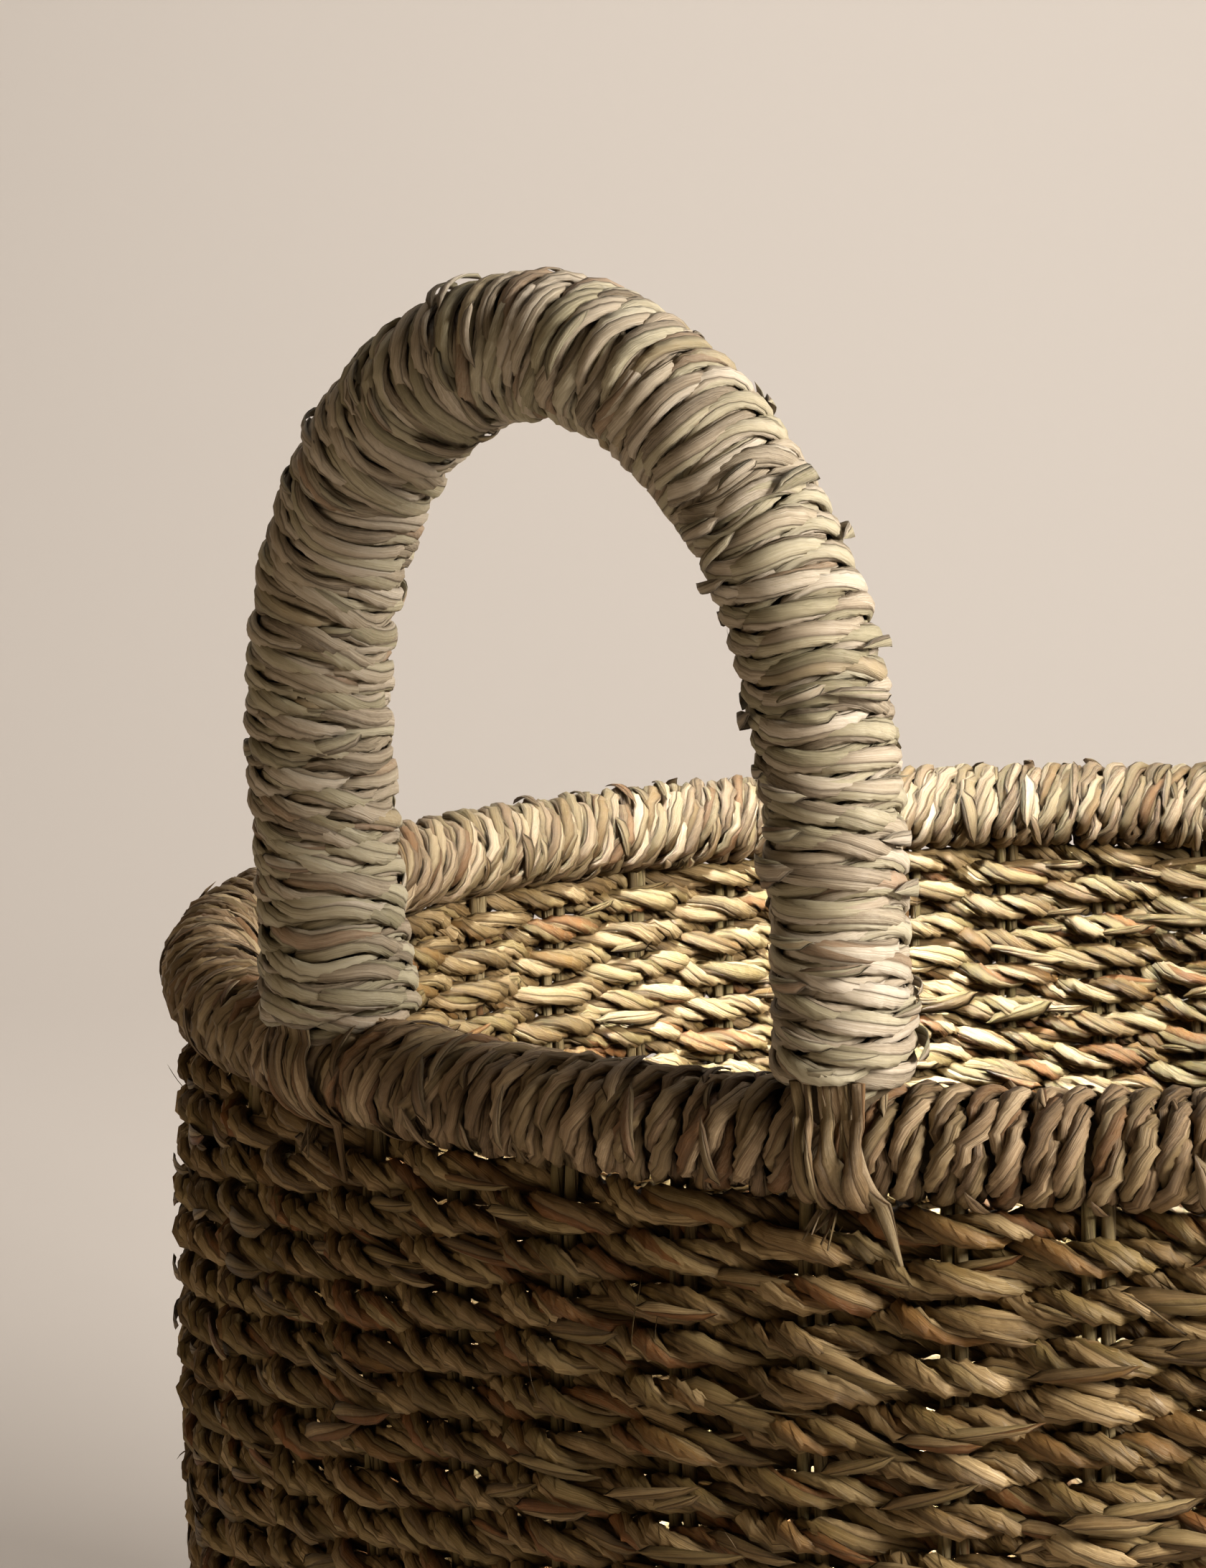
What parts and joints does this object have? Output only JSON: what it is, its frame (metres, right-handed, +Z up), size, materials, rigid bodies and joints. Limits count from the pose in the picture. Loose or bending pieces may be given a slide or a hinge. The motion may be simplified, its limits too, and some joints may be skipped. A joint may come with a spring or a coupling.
{
  "type": "seagrass storage basket",
  "caption": "Round open basket woven from twisted seagrass cord on upright stakes, with a thick wrapped rim and two upright wrapped arch handles.",
  "frame": {"origin": "on the floor, under the middle of the base", "axes": "+Z up through the open mouth; the two handles stand at +X and -X, each spanning along Y"},
  "size_m": [0.4572, 0.4484, 0.4759],
  "materials": {
    "steel_wire": "plain drawn wire, thinly painted, hidden inside the rim and the handles",
    "grass_bundle": "bundle of straight dry grass, hidden under the wrapped cord",
    "rim_cord": "two-ply twisted seagrass cord, dry and matt, taupe brown with darker leaves",
    "handle_cord": "two-ply twisted seagrass cord, flattened and satin, pale straw with a green cast",
    "wall_cord": "two-ply twisted seagrass cord, dry, olive khaki brown with rust leaves",
    "stake_stalks": "pairs of thin fibrous grass stalks, pale straw",
    "raw_strip": "flat raw leaf strips, fibrous, orange brown"
  },
  "bodies": {
    "root": {"rim_hoop": "steel_wire", "rim_core": "grass_bundle", "rim_wrap": "rim_cord", "handle_left_rod": "steel_wire", "handle_left_core": "grass_bundle", "handle_left_wrap": "handle_cord", "handle_right_rod": "steel_wire", "handle_right_core": "grass_bundle", "handle_right_wrap": "handle_cord", "foot_lashing_left_front": "raw_strip", "foot_lashing_left_back": "raw_strip", "foot_lashing_right_front": "raw_strip", "foot_lashing_right_back": "raw_strip", "stake_cage": "stake_stalks", "weft_course_01": "wall_cord", "weft_course_02": "wall_cord", "weft_course_03": "wall_cord", "weft_course_04": "wall_cord", "weft_course_05": "wall_cord", "weft_course_06": "wall_cord", "weft_course_07": "wall_cord", "weft_course_08": "wall_cord", "weft_course_09": "wall_cord", "weft_course_10": "wall_cord", "base_weft_under": "wall_cord", "base_weft_upper": "wall_cord"}
  },
  "joints": []
}
